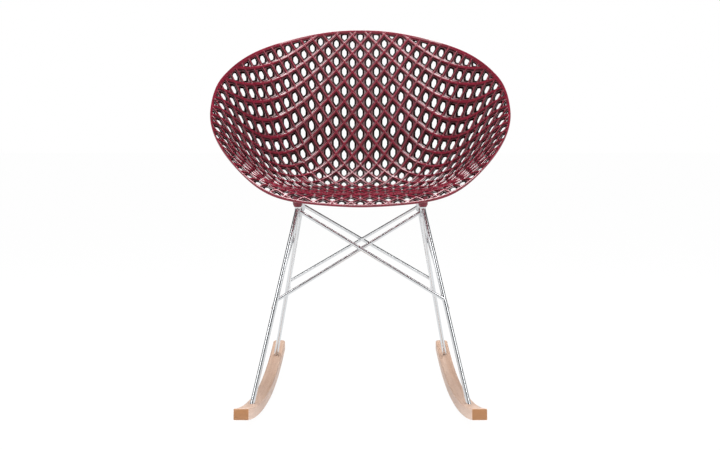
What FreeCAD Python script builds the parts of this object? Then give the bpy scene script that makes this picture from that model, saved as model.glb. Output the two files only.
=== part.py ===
import FreeCAD, Part
import math
import os

from FreeCAD import Placement, Rotation, Vector

# A rocking chair: a perforated bucket seat moulded in one piece, on a welded base of
# chromed steel rod that stands on two bent wooden rockers.
# Millimetres. X runs across the chair, Y from its front (minus) to its back, Z up.
# The floor is Z = 0 and the rockers reach equally far to the front and to the back.

# Seat shell: its form is a height above the mould's draw plane, which leans back
SHELL_LEAN = 36.3
SHELL_CENTRE_HEIGHT = 530.0
SHELL_HALF_WIDTH = 299.0
SHELL_RIM_CENTRE = -10.0
SHELL_BACK_REACH = 336.0
SHELL_FRONT_REACH = 276.0
SHELL_BACK_SQUARENESS = 2.07
SHELL_FRONT_SQUARENESS = 2.3
SHELL_THICKNESS = 4.0
FORM_GRID = 24.0
RIM_POINTS = 24

# Depth of the bucket below the draw plane, as (place from front to back, depth)
MIDDLE_DEPTH = [
    (-345, -74), (-285, -57), (-225, -22), (-160, 22), (-80, 80), (0, 130),
    (55, 150), (105, 134), (160, 80), (220, 20), (280, -31), (335, -70), (380, -92),
]
SIDE_DEPTH = [
    (-345, -149), (-285, -140), (-200, -128), (-100, -111), (0, -100),
    (100, -110), (200, -136), (335, -185), (380, -205),
]
# How steeply the sides rise, and how rounded the bend at their foot is
SIDE_STEEPNESS = [(-345, 1.5), (-285, 1.5), (-60, 2.5), (40, 2.25), (140, 1.9), (335, 1.85), (380, 1.85)]
SIDE_ROUNDING = [(-345, 0.68), (-285, 0.68), (-60, 0.69), (40, 0.57), (140, 0.35), (335, 0.35), (380, 0.35)]
SIDE_REFERENCE = 300.0

# Rolled rim of the shell
RIM_WIDTH = 6.0
RIM_RISE = 1.6
RIM_DROP = 1.8

# Lattice of diamond openings, pierced along the draw direction
LATTICE_HALF_PITCH_ACROSS = 17.45
LATTICE_HALF_PITCH_ALONG = 16.465
LATTICE_TOP_ROW = 315.1
LATTICE_ROWS = 38
LATTICE_COLUMNS = 17
OPENING_HALF_WIDTH = 7.2
OPENING_HALF_LENGTH = 11.0
RIM_BAND = 10.0

# Bosses under the seat and the inserts moulded into them
BOSS_FRONT = (123.5, -110.0)
BOSS_REAR = (124.0, 110.0)
BOSS_DIAMETER = 19.0
BOSS_CLEAR = 3.0
SEAT_MOUNT_HEIGHT = 400.0
INSERT_DIAMETER = 9.0
INSERT_LENGTH = 10.0
INSERT_FLANGE = 12.0
INSERT_FLANGE_THICKNESS = 1.0

# Steel base
LEG_DIAMETER = 9.0
BRACE_DIAMETER = 6.0
BUSH_DIAMETER = 12.0
BUSH_LENGTH = 16.0
LEG_TOP_BELOW_MOUNT = 3.5
CROSS_BRACE_BELOW_MOUNT = 6.5
SIDE_BRACE_BELOW_MOUNT = 12.0
WELD_GAP = 0.15
CROSS_WELD_HEIGHT = 222.0
SIDE_WELD_HEIGHT = 207.0
LEG_FOOT_FRONT = -215.0
LEG_FOOT_REAR = 306.0

# Screws: seat screws go up through the bushes, rocker screws up into the legs
SEAT_SCREW_DIAMETER = 6.0
SEAT_SCREW_REACH = 8.0
SEAT_SCREW_HEAD = (10.5, 3.3)
ROCKER_SCREW_DIAMETER = 5.0
ROCKER_SCREW_REACH = 12.0
ROCKER_SCREW_HEAD = (9.5, 2.7)
HEX_DEPTH = 2.0
HOLE_CLEARANCE = 0.3

# Wooden rockers
ROCKER_WIDTH = 27.0
ROCKER_THICKNESS = 20.0
ROCKER_HALF_LENGTH = 404.0
ROCKER_INNER_FACE = 186.0
ROCKER_TOE_OUT = 1.535
# The rockers touch the floor under the chair's centre of gravity, where their two arcs meet
ROCKER_CONTACT = 18.5
ROCKER_FRONT_RADIUS = 2350.0
ROCKER_REAR_RADIUS = 1650.0
ROCKER_REAR_CORNER = 7.0
ROCKER_EDGE = 1.5
SOCKET_DEPTH = 11.0
COUNTERBORE_DEPTH = 4.5

SIDES = {"left": -1, "right": 1}


def smooth_curve(points):
    """A curve through (place, value) points with no overshoot at its bends."""
    places = [p[0] for p in points]
    values = [p[1] for p in points]
    spans = [b - a for a, b in zip(places, places[1:])]
    rises = [(b - a) / s for a, b, s in zip(values, values[1:], spans)]
    slopes = [rises[0]]
    for i in range(1, len(spans)):
        share = spans[i - 1] + spans[i]
        slopes.append((rises[i - 1] * spans[i] + rises[i] * spans[i - 1]) / share)
    slopes.append(rises[-1])

    def value(place):
        i = 0
        while i < len(spans) - 1 and place > places[i + 1]:
            i += 1
        t = (place - places[i]) / spans[i]
        start = (1 + 2 * t) * (1 - t) ** 2 * values[i]
        leave = t * (1 - t) ** 2 * spans[i] * slopes[i]
        end = t * t * (3 - 2 * t) * values[i + 1]
        arrive = t * t * (t - 1) * spans[i] * slopes[i + 1]
        return start + leave + end + arrive

    return value


middle_depth = smooth_curve(MIDDLE_DEPTH)
side_depth = smooth_curve(SIDE_DEPTH)
side_steepness = smooth_curve(SIDE_STEEPNESS)
side_rounding = smooth_curve(SIDE_ROUNDING)


def seat_height(x, along):
    """Height of the sitting surface over the draw plane."""
    share = min(abs(x) / SIDE_REFERENCE, 1.12) ** side_steepness(along)
    rounding = side_rounding(along)
    bend = (1 - math.cos(math.pi * min(share, 1.0))) / 2
    rise = (1 - rounding) * share + rounding * bend
    middle = middle_depth(along)
    return (middle - side_depth(along)) * rise - middle


def level_below(depth):
    """The surface that lies this depth under the sitting surface, measured square to it."""
    step = 0.5

    def level(x, along):
        across = (seat_height(x + step, along) - seat_height(x - step, along)) / (2 * step)
        lengthways = (seat_height(x, along + step) - seat_height(x, along - step)) / (2 * step)
        return seat_height(x, along) - depth * math.sqrt(1 + across**2 + lengthways**2)

    return level


def form_surface(height):
    """A smooth surface whose own coordinates are the places on the draw plane."""
    margin = 18.0
    left = -SHELL_HALF_WIDTH - margin
    front = SHELL_RIM_CENTRE - SHELL_FRONT_REACH - margin
    back = SHELL_RIM_CENTRE + SHELL_BACK_REACH + margin
    columns = math.ceil(-2 * left / FORM_GRID) + 1
    rows = math.ceil((back - front) / FORM_GRID) + 1
    grid = []
    for i in range(columns):
        x = left + i * FORM_GRID
        grid.append([height(x, front + j * FORM_GRID) for j in range(rows)])
    surface = Part.BSplineSurface()
    surface.interpolate(grid, left, FORM_GRID, front, FORM_GRID)
    return surface


def rim_shape(along, inset):
    """Squareness and reach of the rim on this side of its centre."""
    if along >= SHELL_RIM_CENTRE:
        return SHELL_BACK_SQUARENESS, SHELL_BACK_REACH - inset
    return SHELL_FRONT_SQUARENESS, SHELL_FRONT_REACH - inset


def within_rim(x, along, inset):
    squareness, reach = rim_shape(along, inset)
    across = abs(x) / (SHELL_HALF_WIDTH - inset)
    lengthways = abs(along - SHELL_RIM_CENTRE) / reach
    return across**squareness + lengthways**squareness < 1


def rim_curve(inset):
    """The seat's outline on the draw plane, drawn in by a distance."""
    points = []
    for i in range(RIM_POINTS):
        angle = 2 * math.pi * i / RIM_POINTS
        c, s = math.cos(angle), math.sin(angle)
        side = SHELL_RIM_CENTRE + math.copysign(1, s)
        squareness, reach = rim_shape(side, inset)
        x = (SHELL_HALF_WIDTH - inset) * math.copysign(abs(c) ** (2 / squareness), c)
        along = reach * math.copysign(abs(s) ** (2 / squareness), s)
        points.append(FreeCAD.Base.Vector2d(x, SHELL_RIM_CENTRE + along))
    curve = Part.Geom2d.BSplineCurve2d()
    curve.interpolate(points, True)
    return curve


def shell_placement():
    """From the draw plane to the chair's own frame."""
    return Placement(Vector(0, 0, SHELL_CENTRE_HEIGHT), Rotation(Vector(1, 0, 0), SHELL_LEAN))


def to_draw_plane(point):
    return shell_placement().inverse().multVec(point)


def under_boss(x, along):
    """Whether a boss stands under this place, so that the shell stays closed there."""
    for across, lengthways in (BOSS_FRONT, BOSS_REAR):
        centre = boss_root(across, lengthways)
        reach = BOSS_DIAMETER / 2 + BOSS_CLEAR
        if math.hypot(abs(x) - centre.x, along - centre.y) < reach:
            return True
    return False


def boss_root(x, y):
    """Where a boss's upright axis meets the shell, on the draw plane."""
    low, high = SEAT_MOUNT_HEIGHT, SEAT_MOUNT_HEIGHT + 120.0
    for _ in range(40):
        middle = (low + high) / 2
        place = to_draw_plane(Vector(x, y, middle))
        if place.z < seat_height(place.x, place.y):
            low = middle
        else:
            high = middle
    return to_draw_plane(Vector(x, y, low))


def lattice_openings():
    """Corners of each diamond opening, on the draw plane."""
    openings = []
    for row in range(LATTICE_ROWS):
        for column in range(-LATTICE_COLUMNS, LATTICE_COLUMNS + 1):
            if (row + column) % 2:
                continue
            x = LATTICE_HALF_PITCH_ACROSS * column
            along = LATTICE_TOP_ROW - LATTICE_HALF_PITCH_ALONG * row
            corners = [
                (x, along + OPENING_HALF_LENGTH),
                (x - OPENING_HALF_WIDTH, along),
                (x, along - OPENING_HALF_LENGTH),
                (x + OPENING_HALF_WIDTH, along),
            ]
            inside = all(within_rim(*corner, RIM_BAND) for corner in corners)
            if inside and not under_boss(x, along):
                openings.append(corners)
    return openings


def skin(surface, rim, openings):
    """A surface cut to the rim and pierced by the lattice."""
    face = Part.Face(surface, Part.Wire([rim.toShape(surface)]))
    loops = []
    for corners in openings:
        sides = []
        for start, end in zip(corners, corners[1:] + corners[:1]):
            line = Part.Geom2d.Line2dSegment(
                FreeCAD.Base.Vector2d(*start), FreeCAD.Base.Vector2d(*end)
            )
            sides.append(line.toShape(surface))
        loops.append(Part.Wire(sides))
    face.cutHoles(loops)
    face.validate()
    return face


def edge_middle(edge):
    return edge.valueAt((edge.FirstParameter + edge.LastParameter) / 2)


def wall_between(upper, lower):
    """The flat wall of an opening, between its edges on the two skins."""
    a, b = upper.valueAt(upper.FirstParameter), upper.valueAt(upper.LastParameter)
    c, d = lower.valueAt(lower.FirstParameter), lower.valueAt(lower.LastParameter)
    if math.hypot(a.x - c.x, a.y - c.y) > math.hypot(a.x - d.x, a.y - d.y):
        c, d = d, c
    ends = [Part.makeLine(a, c), Part.makeLine(b, d)]
    return Part.Face(Part.Wire(Part.__sortEdges__([upper, lower] + ends)))


def opening_walls(upper_skin, lower_skin):
    walls = []
    for upper_loop, lower_loop in zip(upper_skin.Wires[1:], lower_skin.Wires[1:]):
        for upper in upper_loop.Edges:
            place = edge_middle(upper)
            lower = min(
                lower_loop.Edges,
                key=lambda e: math.hypot(edge_middle(e).x - place.x, edge_middle(e).y - place.y),
            )
            walls.append(wall_between(upper, lower))
    return walls


def ring_face(surface, outer, inner):
    """The strip of a surface between two outlines."""
    face = Part.Face(surface, Part.Wire([outer.toShape(surface)]))
    face.cutHoles([Part.Wire([inner.toShape(surface)])])
    face.validate()
    return face


def seat_shell():
    """The moulded seat: pierced sheet, thicker rim and four bosses underneath."""
    sitting = form_surface(seat_height)
    under = form_surface(level_below(SHELL_THICKNESS))
    rim_top = form_surface(level_below(-RIM_RISE))
    rim_bottom = form_surface(level_below(SHELL_THICKNESS + RIM_DROP))
    outer, inner = rim_curve(0.0), rim_curve(RIM_WIDTH)
    openings = lattice_openings()
    top = skin(sitting, inner, openings)
    bottom = skin(under, inner, openings)
    band_top = ring_face(rim_top, outer, inner)
    band_bottom = ring_face(rim_bottom, outer, inner)
    steps = [
        (top.OuterWire.Edges[0], inner.toShape(rim_top)),
        (bottom.OuterWire.Edges[0], inner.toShape(rim_bottom)),
        (outer.toShape(rim_top), outer.toShape(rim_bottom)),
    ]
    faces = [top, bottom, band_top, band_bottom]
    faces += [Part.makeRuledSurface(a, b) for a, b in steps]
    faces += opening_walls(top, bottom)
    skinned = Part.Compound(faces)
    skinned.sewShape()
    shell = Part.Solid(skinned.Shells[0])
    if shell.Volume < 0:
        shell.reverse()
    shell.Placement = shell_placement()
    print("openings", len(openings), "closed", skinned.Shells[0].isClosed())
    return shell.fuse([boss(x, y) for x, y in boss_places().values()])


def boss_places():
    places = {}
    for end, (x, y) in {"front": BOSS_FRONT, "rear": BOSS_REAR}.items():
        for side, sign in SIDES.items():
            places[end, side] = (sign * x, y)
    return places


def boss(x, y):
    """An upright boss that ends half way through the sheet, with the insert's bore."""
    root = boss_root(abs(x), y)
    reach = BOSS_DIAMETER
    middle = form_surface(level_below(SHELL_THICKNESS / 2))
    around = math.copysign(root.x, x)
    patch = middle.toShape(around - reach, around + reach, root.y - reach, root.y + reach)
    straight_down = shell_placement().Rotation.inverted().multVec(Vector(0, 0, -4 * reach))
    below = patch.extrude(straight_down)
    below.Placement = shell_placement()
    post = Part.makeCylinder(BOSS_DIAMETER / 2, 60, Vector(x, y, SEAT_MOUNT_HEIGHT))
    body = post.common(below)
    bore = INSERT_DIAMETER / 2 + HOLE_CLEARANCE
    body = body.cut(Part.makeCylinder(bore, INSERT_LENGTH + HOLE_CLEARANCE, Vector(x, y, SEAT_MOUNT_HEIGHT)))
    flange = INSERT_FLANGE / 2 + HOLE_CLEARANCE
    seat = Part.makeCylinder(flange, INSERT_FLANGE_THICKNESS, Vector(x, y, SEAT_MOUNT_HEIGHT))
    return body.cut(seat)


def threaded_insert(x, y):
    """A flanged brass insert, flush with the foot of its boss."""
    foot = Vector(x, y, SEAT_MOUNT_HEIGHT)
    body = Part.makeCylinder(INSERT_DIAMETER / 2, INSERT_LENGTH, foot)
    body = body.fuse(Part.makeCylinder(INSERT_FLANGE / 2, INSERT_FLANGE_THICKNESS, foot))
    bore = SEAT_SCREW_DIAMETER / 2 + HOLE_CLEARANCE / 2
    return body.cut(Part.makeCylinder(bore, INSERT_LENGTH, foot)).removeSplitter()


def mount_bush(x, y):
    """The short steel bush that the rods are welded to, under each boss."""
    foot = Vector(x, y, SEAT_MOUNT_HEIGHT - BUSH_LENGTH)
    body = Part.makeCylinder(BUSH_DIAMETER / 2, BUSH_LENGTH, foot)
    return body.cut(Part.makeCylinder(SEAT_SCREW_DIAMETER / 2 + HOLE_CLEARANCE, BUSH_LENGTH, foot))


def socket_screw(tip, head_seat, diameter, head):
    """A button-head screw with a hexagon socket, from its head's seat to its tip."""
    axis = (tip - head_seat).normalize()
    head_diameter, head_height = head
    shank = Part.makeCylinder(diameter / 2, tip.distanceToPoint(head_seat), head_seat, axis)
    under_head = head_seat - axis * head_height
    cap = Part.makeCone(
        head_diameter / 2 - head_height / 3, head_diameter / 2, head_height, under_head, axis
    )
    socket = Part.Face(Part.makePolygon(hexagon(diameter * 0.34, under_head, axis)))
    body = shank.fuse(cap).removeSplitter()
    return body.cut(socket.extrude(axis * HEX_DEPTH))


def hexagon(radius, centre, axis):
    """Closed corner list of a hexagon square to an axis."""
    across = axis.cross(Vector(1, 0, 0)).normalize()
    other = axis.cross(across)
    corners = []
    for i in range(7):
        angle = math.radians(60 * i)
        corners.append(centre + across * (radius * math.cos(angle)) + other * (radius * math.sin(angle)))
    return corners


def rod(start, end, diameter):
    return Part.makeCylinder(diameter / 2, start.distanceToPoint(end), start, end - start)


def rocker_underside(y):
    """Height of the rockers' curved underside over the floor."""
    radius = ROCKER_FRONT_RADIUS if y < ROCKER_CONTACT else ROCKER_REAR_RADIUS
    return radius - math.sqrt(radius**2 - (y - ROCKER_CONTACT) ** 2)


def rocker_middle(y):
    """Distance of a rocker's middle line from the chair's middle plane."""
    slant = math.radians(ROCKER_TOE_OUT)
    return (ROCKER_INNER_FACE + ROCKER_WIDTH / 2) - y * math.tan(slant)


def leg_line(end, side):
    """Top of a leg, beside its bush, and its foot on top of the rocker."""
    x, y = boss_places()[end, side]
    beside = (BUSH_DIAMETER + LEG_DIAMETER) / 2 + WELD_GAP
    outward = -beside if end == "front" else beside
    top = Vector(x, y + outward, SEAT_MOUNT_HEIGHT - LEG_TOP_BELOW_MOUNT)
    foot_y = LEG_FOOT_FRONT if end == "front" else LEG_FOOT_REAR
    height = rocker_underside(foot_y) + ROCKER_THICKNESS
    foot = Vector(math.copysign(rocker_middle(foot_y), x), foot_y, height)
    return top, foot


def into_socket(end, side):
    """The end of a leg at the bottom of its socket in the rocker."""
    top, foot = leg_line(end, side)
    return foot + (foot - top).normalize() * (SOCKET_DEPTH - HOLE_CLEARANCE)


def leg(end, side):
    top, _ = leg_line(end, side)
    tip = into_socket(end, side)
    body = rod(top, tip, LEG_DIAMETER)
    thread_depth = ROCKER_SCREW_REACH + 2.0
    bore = ROCKER_SCREW_DIAMETER / 2 + HOLE_CLEARANCE / 2
    up = (top - tip).normalize()
    return body.cut(Part.makeCylinder(bore, thread_depth, tip, up))


def point_at_height(line, height):
    top, foot = line
    share = (top.z - height) / (top.z - foot.z)
    return top + (foot - top) * share


def brace_line(start_place, leg_place, below_mount, weld_height):
    """From the middle of one corner's bush to the middle of another corner's leg."""
    x, y = boss_places()[start_place]
    return Vector(x, y, SEAT_MOUNT_HEIGHT - below_mount), point_at_height(leg_line(*leg_place), weld_height)


def brace(line, start_place, leg_place, aside):
    """A rod along a line moved aside, cut to lie against the bush and the leg."""
    x, y = boss_places()[start_place]
    body = rod(line[0] + aside, line[1] + aside, BRACE_DIAMETER)
    bush_foot = Vector(x, y, SEAT_MOUNT_HEIGHT - 2 * BUSH_LENGTH)
    bush_room = Part.makeCylinder(BUSH_DIAMETER / 2 + WELD_GAP, 3 * BUSH_LENGTH, bush_foot)
    leg_room = rod(*leg_line(*leg_place), LEG_DIAMETER + 2 * WELD_GAP)
    return max(body.cut([bush_room, leg_room]).Solids, key=lambda s: s.Volume)


def crossed_pair(corner_a, corner_b, below_mount, weld_height):
    """Two rods that cross between two corners and touch where they pass."""
    first = brace_line(corner_a, corner_b, below_mount, weld_height)
    second = brace_line(corner_b, corner_a, below_mount, weld_height)
    across = (first[1] - first[0]).cross(second[1] - second[0]).normalize()
    offset = (second[0] - first[0]).dot(across)
    across = across * math.copysign((BRACE_DIAMETER + WELD_GAP - abs(offset)) / 2, offset)
    return brace(first, corner_a, corner_b, across * -1), brace(second, corner_b, corner_a, across)


def cross_braces(end):
    """The two rods that cross between the left and right corners of one end."""
    return crossed_pair((end, "right"), (end, "left"), CROSS_BRACE_BELOW_MOUNT, CROSS_WELD_HEIGHT)


def side_braces(side):
    """The two rods that cross between the front and rear corners of one side."""
    return crossed_pair(("rear", side), ("front", side), SIDE_BRACE_BELOW_MOUNT, SIDE_WELD_HEIGHT)


def arc_point(y, raise_by):
    """A point on the rocker's side view, square to its underside by a distance."""
    radius = ROCKER_FRONT_RADIUS if y < ROCKER_CONTACT else ROCKER_REAR_RADIUS
    angle = math.asin((y - ROCKER_CONTACT) / radius)
    away = radius - raise_by
    return Vector(0, ROCKER_CONTACT + away * math.sin(angle), radius - away * math.cos(angle))


def rocker(side):
    """A bent wooden rocker: two tangent arcs, square in front and rounded behind."""
    tips = (-ROCKER_HALF_LENGTH, ROCKER_CONTACT, ROCKER_HALF_LENGTH)
    low = [arc_point(y, 0.0) for y in tips]
    high = [arc_point(y, ROCKER_THICKNESS) for y in tips]
    halves = [(tips[0] + tips[1]) / 2, (tips[1] + tips[2]) / 2]
    edges = [
        Part.Arc(low[0], arc_point(halves[0], 0.0), low[1]).toShape(),
        Part.Arc(low[1], arc_point(halves[1], 0.0), low[2]).toShape(),
        Part.makeLine(low[2], high[2]),
        Part.Arc(high[2], arc_point(halves[1], ROCKER_THICKNESS), high[1]).toShape(),
        Part.Arc(high[1], arc_point(halves[0], ROCKER_THICKNESS), high[0]).toShape(),
        Part.makeLine(high[0], low[0]),
    ]
    profile = Part.Face(Part.Wire(edges))
    body = profile.extrude(Vector(ROCKER_WIDTH, 0, 0))
    rear_corners = [e for e in body.Edges if e.CenterOfMass.y > ROCKER_HALF_LENGTH - 30 and upright(e)]
    body = body.makeFillet(ROCKER_REAR_CORNER, rear_corners)
    body = body.makeChamfer(ROCKER_EDGE, [e for e in body.Edges if runs_lengthways(e)])
    body.translate(Vector(ROCKER_INNER_FACE, 0, 0))
    body.rotate(Vector(rocker_middle(0), 0, 0), Vector(0, 0, 1), ROCKER_TOE_OUT)
    if side == "left":
        body = body.mirror(Vector(0, 0, 0), Vector(1, 0, 0))
    for end in ("front", "rear"):
        body = body.cut(rocker_drilling(end, side))
    return body


def upright(edge):
    """Whether an edge runs between the rocker's underside and its top."""
    box = edge.BoundBox
    return box.ZLength > ROCKER_THICKNESS / 2 and box.YLength < ROCKER_THICKNESS


def runs_lengthways(edge):
    return edge.BoundBox.YLength > ROCKER_HALF_LENGTH / 2


def rocker_drilling(end, side):
    """Socket for the leg from above, screw hole and counterbore from below."""
    top, foot = leg_line(end, side)
    down = (foot - top).normalize()
    above = foot - down * SOCKET_DEPTH
    socket = rod(above, foot + down * SOCKET_DEPTH, LEG_DIAMETER + 2 * HOLE_CLEARANCE)
    seat = screw_seat(end, side)
    hole = rod(foot, seat, ROCKER_SCREW_DIAMETER + 2 * HOLE_CLEARANCE)
    relief = rod(seat, seat + down * 2 * ROCKER_THICKNESS, ROCKER_SCREW_HEAD[0] + 4 * HOLE_CLEARANCE)
    return [socket, hole, relief]


def screw_seat(end, side):
    """Bottom of the counterbore, where a rocker screw's head sits."""
    top, foot = leg_line(end, side)
    down = (foot - top).normalize()
    through = ROCKER_THICKNESS / -down.z
    return foot + down * (through - COUNTERBORE_DEPTH)


def rocker_screw(end, side):
    tip = into_socket(end, side)
    top, _ = leg_line(end, side)
    up = (top - tip).normalize()
    return socket_screw(
        tip + up * ROCKER_SCREW_REACH, screw_seat(end, side), ROCKER_SCREW_DIAMETER, ROCKER_SCREW_HEAD
    )


def seat_screw(x, y):
    head_seat = Vector(x, y, SEAT_MOUNT_HEIGHT - BUSH_LENGTH)
    tip = Vector(x, y, SEAT_MOUNT_HEIGHT + SEAT_SCREW_REACH)
    return socket_screw(tip, head_seat, SEAT_SCREW_DIAMETER, SEAT_SCREW_HEAD)


def all_parts():
    parts = {"seat_shell": seat_shell()}
    for end in ("front", "rear"):
        pair = [boss_places()[end, side] for side in SIDES]
        parts[f"threaded_inserts_{end}"] = Part.Compound([threaded_insert(x, y) for x, y in pair])
        parts[f"mount_bushes_{end}"] = Part.Compound([mount_bush(x, y) for x, y in pair])
        for side in SIDES:
            parts[f"leg_{end}_{side}"] = leg(end, side)
        parts[f"cross_brace_{end}_1"], parts[f"cross_brace_{end}_2"] = cross_braces(end)
    for side in SIDES:
        parts[f"side_brace_{side}_1"], parts[f"side_brace_{side}_2"] = side_braces(side)
        parts[f"rocker_{side}"] = rocker(side)
    parts["seat_screws"] = Part.Compound([seat_screw(x, y) for x, y in boss_places().values()])
    parts["rocker_screws"] = Part.Compound([rocker_screw(*place) for place in boss_places()])
    return parts


os.makedirs("parts", exist_ok=True)
for name, shape in all_parts().items():
    print(name, "solids", len(shape.Solids), "valid", shape.isValid(), "cm3", round(shape.Volume / 1000, 2))
    shape.exportStep(f"parts/{name}.step")
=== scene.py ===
import math
from collections import namedtuple

import bpy
import bmesh
import numpy as np
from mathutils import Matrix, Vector


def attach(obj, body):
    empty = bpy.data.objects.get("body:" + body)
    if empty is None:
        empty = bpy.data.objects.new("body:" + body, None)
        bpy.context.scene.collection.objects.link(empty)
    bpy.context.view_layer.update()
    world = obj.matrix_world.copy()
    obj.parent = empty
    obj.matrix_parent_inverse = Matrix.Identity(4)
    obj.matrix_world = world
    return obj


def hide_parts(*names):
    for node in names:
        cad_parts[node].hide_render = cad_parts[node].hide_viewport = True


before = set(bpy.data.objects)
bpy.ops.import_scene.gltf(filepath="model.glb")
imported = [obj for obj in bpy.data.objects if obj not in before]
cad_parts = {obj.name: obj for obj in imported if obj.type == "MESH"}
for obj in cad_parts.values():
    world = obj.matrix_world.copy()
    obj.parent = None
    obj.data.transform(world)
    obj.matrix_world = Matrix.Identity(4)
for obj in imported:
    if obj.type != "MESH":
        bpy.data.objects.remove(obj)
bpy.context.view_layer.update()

# A moulded plastic rocking chair: a bucket seat pierced by a diamond lattice, on a welded
# base of chromed rod with two bent beech rockers. Metres, in the frame's own axes.

# Seat: its form is a height over the mould's draw plane, which leans back
SHELL_LEAN = math.radians(36.3)
SHELL_CENTRE_HEIGHT = 0.530
SHELL_HALF_WIDTH = 0.299
RIM_CENTRE = -0.010
BACK_REACH = 0.336
FRONT_REACH = 0.279
BACK_SQUARENESS = 2.07
FRONT_SQUARENESS = 2.3
SLOPE_STEP = 0.0005

# Depth of the bucket under the draw plane, as (place from front to back, depth)
MIDDLE_DEPTH = [
    (-0.345, -0.074), (-0.285, -0.057), (-0.225, -0.022), (-0.160, 0.022), (-0.080, 0.080),
    (0.000, 0.130), (0.055, 0.150), (0.105, 0.134), (0.160, 0.080), (0.220, 0.020),
    (0.280, -0.031), (0.335, -0.070), (0.380, -0.092),
]
SIDE_DEPTH = [
    (-0.345, -0.149), (-0.285, -0.140), (-0.200, -0.128), (-0.100, -0.111), (0.000, -0.100),
    (0.100, -0.110), (0.200, -0.136), (0.335, -0.185), (0.380, -0.205),
]
# How steeply the sides rise, and how rounded the bend at their foot is
SIDE_STEEPNESS = [
    (-0.345, 1.5), (-0.285, 1.5), (-0.060, 2.5), (0.040, 2.25), (0.140, 1.9), (0.335, 1.85),
    (0.380, 1.85),
]
SIDE_ROUNDING = [
    (-0.345, 0.68), (-0.285, 0.68), (-0.060, 0.69), (0.040, 0.57), (0.140, 0.35), (0.335, 0.35),
    (0.380, 0.35),
]
# The sides reach their full height this far out, and their form goes on to this share of it
SIDE_REFERENCE = 0.300
SIDE_FARTHEST = 1.12

# The seat's front rises under the thighs and turns down over its edge, as (distance from the
# front edge, rise)
THIGH_RISE = [
    (-0.030, 0.0000), (0.000, 0.0035), (0.0084, 0.0075), (0.025, 0.0125), (0.041, 0.0160),
    (0.0575, 0.0168), (0.090, 0.0140), (0.130, 0.0100), (0.180, 0.0055), (0.230, 0.0015),
    (0.270, 0.0), (0.700, 0.0),
]
THIGH_NEAREST = -0.029
THIGH_FARTHEST = 0.690
# It fades out to the sides
THIGH_HALF_WIDTH = 0.200
THIGH_FADE = 1.5
# The front corners: a squarer outline, and a lip that turns down close to the rim, where its
# form is 1, and goes on outside it
CORNER_PLACE = math.radians(56.4)
CORNER_SPREAD = math.radians(13.5)
CORNER_BULGE = 0.02
CORNER_DROP = 0.0115
CORNER_LIP = 0.022
CORNER_LIP_END = 1.2

# Lattice: half the distance between crossings, across and along the seat. A cell lies at
# every other place of these rows and columns, the rows counted down from the top one.
HALF_PITCH_ACROSS = 0.01745
HALF_PITCH_ALONG = 0.016465
TOP_ROW = 0.3151
ROWS = range(-3, 45)
COLUMNS = range(-20, 21)
SIDE_POINTS = 5
CELL_INRADIUS = (
    HALF_PITCH_ACROSS * HALF_PITCH_ALONG / math.hypot(HALF_PITCH_ACROSS, HALF_PITCH_ALONG)
)

# A cell from the middle of its ribs over its web and down the wall of its opening. A ring lies
# so far from the rib's middle, at this level over the sitting surface, at least rim_inset
# inside the seat's outline and no wider than half_width. Shade is painted shade: it darkens the
# plastic's colour at the feet of the ribs.
Ring = namedtuple("Ring", "from_rib level rim_inset half_width shade")
CELL_PROFILE = [
    Ring(0.0000, 0.00110, 0.0024, 0.020, 0.0),
    Ring(0.0008, 0.00098, 0.0029, 0.020, 0.0),
    Ring(0.0015, 0.00055, 0.0033, 0.020, 0.1),
    Ring(0.0021, -0.00015, 0.0037, 0.020, 0.4),
    Ring(0.0025, -0.00100, 0.0041, 0.020, 0.8),
    Ring(0.0028, -0.00190, 0.0044, 0.020, 1.0),
    Ring(0.0033, -0.00220, 0.0047, 0.0118, 0.2),
    Ring(0.0036, -0.00240, 0.0050, 0.0086, 0.2),
    Ring(0.0040, -0.00290, 0.0053, 0.0079, 1.0),
    Ring(0.0062, -0.00380, 0.0060, 0.0047, 1.0),
]
# Its back, from the rib's middle to the opening
BACK_PROFILE = [
    Ring(0.0000, -0.00480, 0.0024, 0.020, 0.0),
    Ring(0.0014, -0.00460, 0.0034, 0.020, 0.0),
    Ring(0.0026, -0.00420, 0.0044, 0.020, 0.2),
    Ring(0.0056, -0.00400, 0.0056, 0.0054, 0.6),
]
# Finishes. Bands between the rings count from 1: the ribs end where the web starts, and the
# web where the opening's wall starts. The web's finish has a paler colour as painted sheen, and
# the wall's a nearly black colour as painted shade
PLASTIC, WEB, WALL = 0, 1, 2
WEB_BAND = 6
WALL_BAND = 8
# A cell this near to a boss keeps only its first rings, round a floor. A cell that the rim
# leaves too small for an opening gets a floor as well. In front the floors are a little sunk.
BOSS_CLEAR = 0.0125
CLOSED_RINGS = 7
CLOSED_BACK_RINGS = 3
# Painted shade of the floors: over a boss, and at least this much in a cell cut by the rim
CLOSED_FLOOR_PAINTED_SHADE = 0.3
CELL_FLOOR_PAINTED_SHADE = 0.8
CELL_FLOOR_DROP = 0.0006
# Levels are square to the surface from this far inside the rim
SQUARE_FROM = 0.030
# Cells cut by the rim: how near to its inset a place is on it, the grid that finds what is
# left of a cell, and the halvings that find its outline
ON_RIM = 0.0001
HUB_GRID = 25
HALVINGS = 16
# What rounding may add, and the least width to divide by
SLACK = 1e-6
TINY = 1e-9
# An edge that turns more than this looks sharp
SHELL_SHARP = math.radians(48)
SHARP_EDGE = math.radians(40)
# Vertices of the shell nearer than this are one
SHELL_MERGE = 0.00001

# Rolled rim in section, as (inset from the outline, level)
RIM_SECTION = [
    (0.0000, -0.0014), (0.0001, -0.0006), (0.0004, 0.0004), (0.0008, 0.0010), (0.0014, 0.0012),
    (0.0028, 0.0011), (0.0035, 0.0008), (0.0042, 0.0000), (0.0046, -0.0012), (0.0046, -0.0027),
    (0.0043, -0.0034), (0.0037, -0.0039), (0.0029, -0.0042), (0.0019, -0.0042), (0.0009, -0.0038),
    (0.0002, -0.0028),
]
RIM_STEPS = 360

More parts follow.
